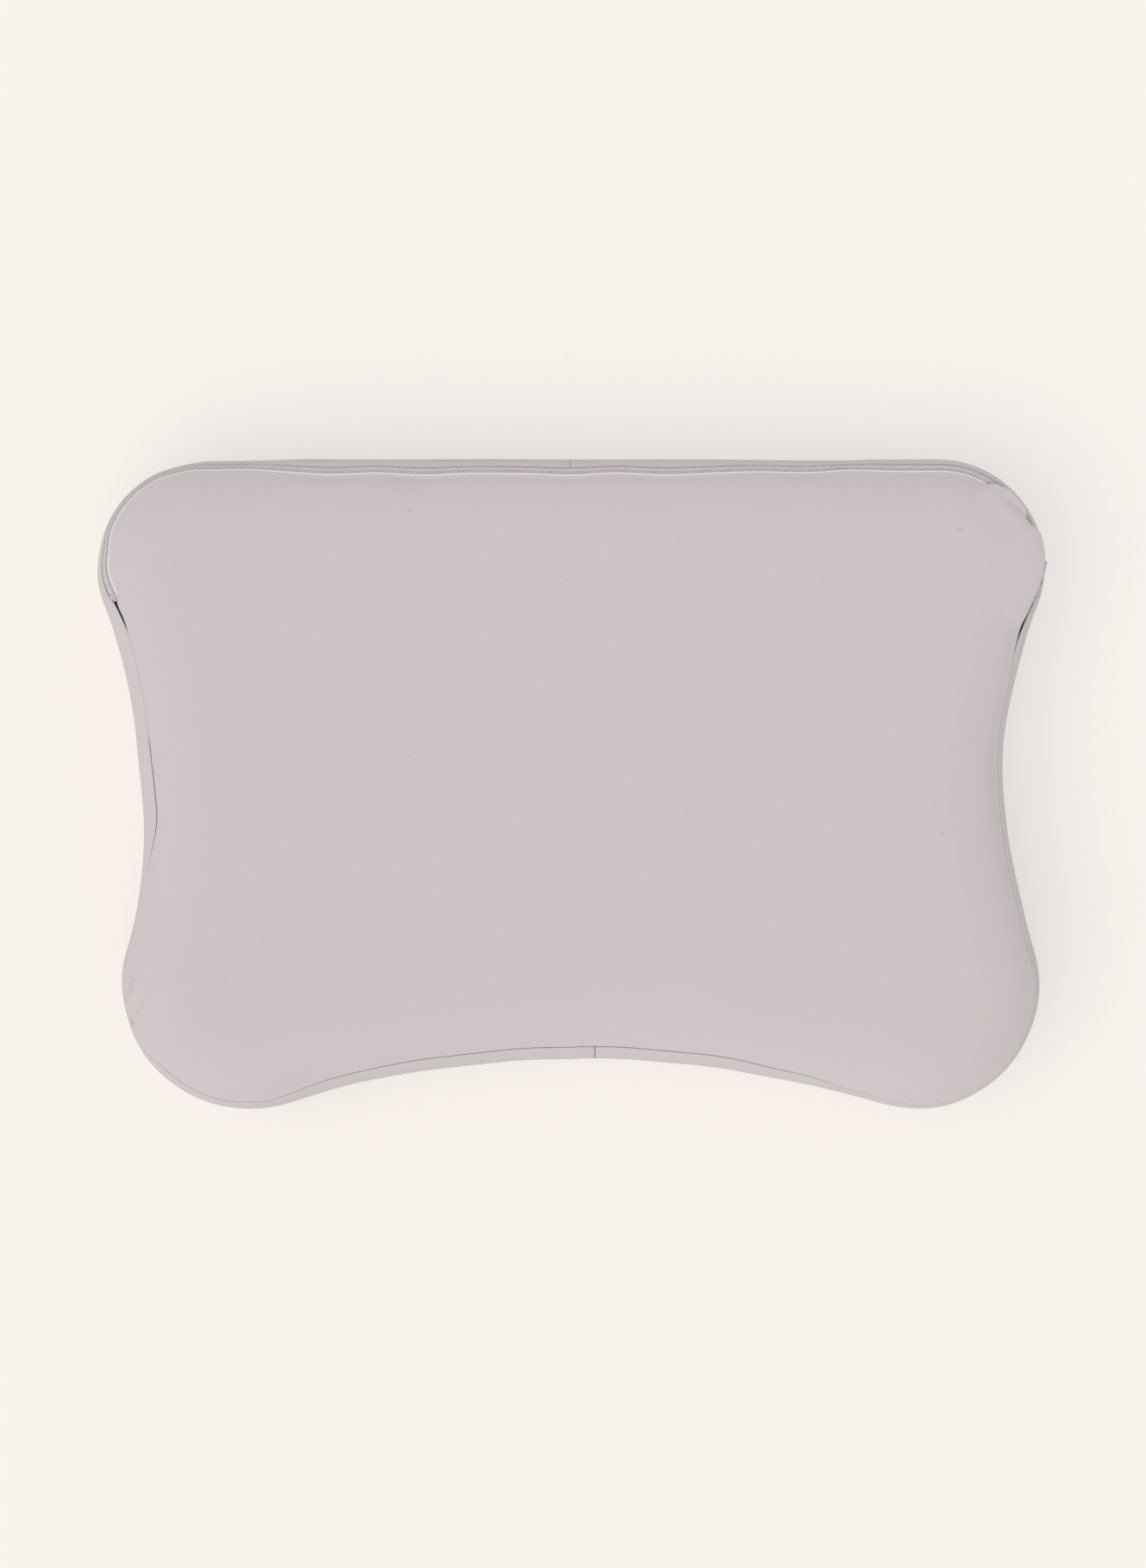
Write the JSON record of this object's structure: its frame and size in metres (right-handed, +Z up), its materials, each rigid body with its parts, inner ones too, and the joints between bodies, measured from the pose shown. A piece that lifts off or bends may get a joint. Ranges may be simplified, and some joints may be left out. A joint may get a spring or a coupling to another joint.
{
  "type": "lumbar support cushion",
  "caption": "Boxed foam back cushion with a four-lobed outline, hollowed waists and a zip-off fabric cover whose coil zip runs along the far edge.",
  "frame": {"origin": "on the surface the cushion lies on, below the middle of its outline", "axes": "+X along the cushion's width, +Y to the straight zipped edge, +Z up out of the front panel; the cushion lies on its back panel"},
  "size_m": [0.5618, 0.3859, 0.1],
  "materials": {
    "cover_cloth": "fine plain-weave cotton-type cloth, pale mauve-grey, matt",
    "liner_knit": "thin off-white knit",
    "foam": "open-cell polyurethane foam, matt",
    "zip_tape": "woven polyester tape, matt",
    "zip_nylon": "nylon monofilament coil, satin",
    "thread": "polyester sewing thread",
    "slider_metal": "zinc casting painted to match the tape, satin"
  },
  "bodies": {
    "cushion": {"foam_core": "foam", "liner_front": "liner_knit", "liner_back": "liner_knit", "cover_front_panel": "cover_cloth", "cover_back_panel": "cover_cloth", "side_band_right": "cover_cloth", "side_band_left": "cover_cloth", "zip_tape_panel_side": "zip_tape", "zip_tape_band_side": "zip_tape", "zip_coil_panel_side": "zip_nylon", "zip_coil_band_side": "zip_nylon", "zip_bartack_right": "thread", "zip_bartack_left": "thread"},
    "slider": {"zip_slider": "slider_metal"},
    "pull_tab": {"zip_pull_tab": "slider_metal"}
  },
  "joints": [
    {"name": "slider_round_corner", "type": "hinge", "parent": "cushion", "child": "slider", "pos_m": [0.216, 0.128, 0.08672], "axis": [0, 0, 1], "range_deg": [0, 103]},
    {"name": "pull_tab_flip", "type": "hinge", "parent": "slider", "child": "pull_tab", "pos_m": [0.27373, 0.11436, 0.08829], "axis": [0.7455, -0.1761, -0.6428], "range_deg": [0, 170]}
  ]
}
